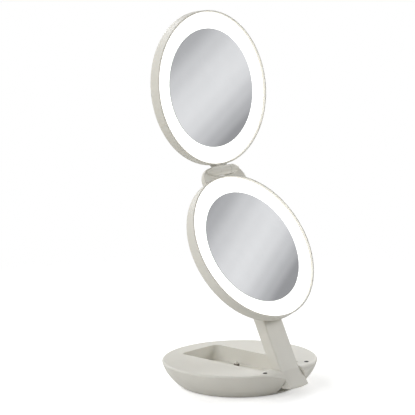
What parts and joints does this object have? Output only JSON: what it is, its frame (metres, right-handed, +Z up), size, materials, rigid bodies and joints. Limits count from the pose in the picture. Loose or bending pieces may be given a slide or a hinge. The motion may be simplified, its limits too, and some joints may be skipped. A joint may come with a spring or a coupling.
{
  "type": "folding vanity mirror",
  "caption": "Lighted vanity mirror on a round base: two hinged round mirrors with light rings stand on an arm and fold flat over the base.",
  "frame": {"origin": "centre of the rubber foot ring, on the table", "axes": "+X along the hinges, to the right of a user who sits on the -Y side; +Y away from the user; +Z up. Stored as pictured: arm up, mirrors open."},
  "size_m": [0.127, 0.1285, 0.3035],
  "materials": {
    "shell": "satin moulded plastic, warm off-white",
    "dark_plastic": "matt black plastic",
    "rubber": "soft dark rubber",
    "steel": "plain steel",
    "cell": "plain wrapped cell",
    "board": "green circuit board",
    "wire": "flat lead",
    "carrier": "plain plastic disc",
    "mirror_glass": "silvered glass",
    "diffuser": "frosted opal plastic that glows",
    "led_board": "white circuit board",
    "lamp": "small clear lamp"
  },
  "bodies": {
    "base": {"base_bowl": "shell", "base_deck": "shell", "bottom_cover": "shell", "battery_doors": "shell", "foot_ring": "rubber", "battery_cells": "cell", "battery_contacts": "steel", "control_board": "board", "base_screws": "steel", "deck_pads": "rubber", "fold_pin": "steel", "fold_washers": "steel", "auto_switch": "dark_plastic"},
    "plunger": {"switch_plunger": "shell"},
    "button": {"power_button": "shell"},
    "arm": {"arm_shell": "shell", "arm_cover": "shell", "arm_screws": "steel", "arm_lead": "wire", "tilt_pin": "steel"},
    "pivot": {"pivot_bracket": "shell", "swivel_washer": "steel", "swivel_ring": "dark_plastic", "ring_screws": "steel"},
    "lower_mirror": {"lower_housing": "shell", "lower_carrier": "carrier", "lower_glass": "mirror_glass", "lower_diffuser": "diffuser", "lower_led_ring": "led_board", "lower_leds": "lamp", "hinge_pin": "steel"},
    "upper_mirror": {"upper_housing": "shell", "upper_carrier": "carrier", "upper_glass": "mirror_glass", "upper_diffuser": "diffuser", "upper_led_ring": "led_board", "upper_leds": "lamp", "hinge_sleeve": "steel"}
  },
  "joints": [
    {"name": "arm_fold", "type": "hinge", "parent": "base", "child": "arm", "pos_m": [0, -0.053, 0.0126], "axis": [1, 0, 0], "range_deg": [-61, 0]},
    {"name": "mirror_tilt", "type": "hinge", "parent": "arm", "child": "pivot", "pos_m": [0, -0.01797, 0.08508], "axis": [-1, 0, 0], "range_deg": [-2, 40]},
    {"name": "mirror_swivel", "type": "hinge", "parent": "pivot", "child": "lower_mirror", "pos_m": [0, -0.02311, 0.08817], "axis": [0, -0.8572, 0.515], "range_deg": [-180, 0]},
    {"name": "upper_fold", "type": "hinge", "parent": "lower_mirror", "child": "upper_mirror", "pos_m": [0, 0.01617, 0.1749], "axis": [-1, 0, 0], "range_deg": [-156.5, 23.5]},
    {"name": "switch_press", "type": "slide", "parent": "base", "child": "plunger", "axis": [0, 0, 1], "range_m": [-0.0012, 0], "stiffness_N_per_m": 250, "springref_m": 0.0008},
    {"name": "button_press", "type": "slide", "parent": "base", "child": "button", "axis": [0, 1, 0], "range_m": [-0.001, 0], "stiffness_N_per_m": 400, "springref_m": 0.0006}
  ]
}
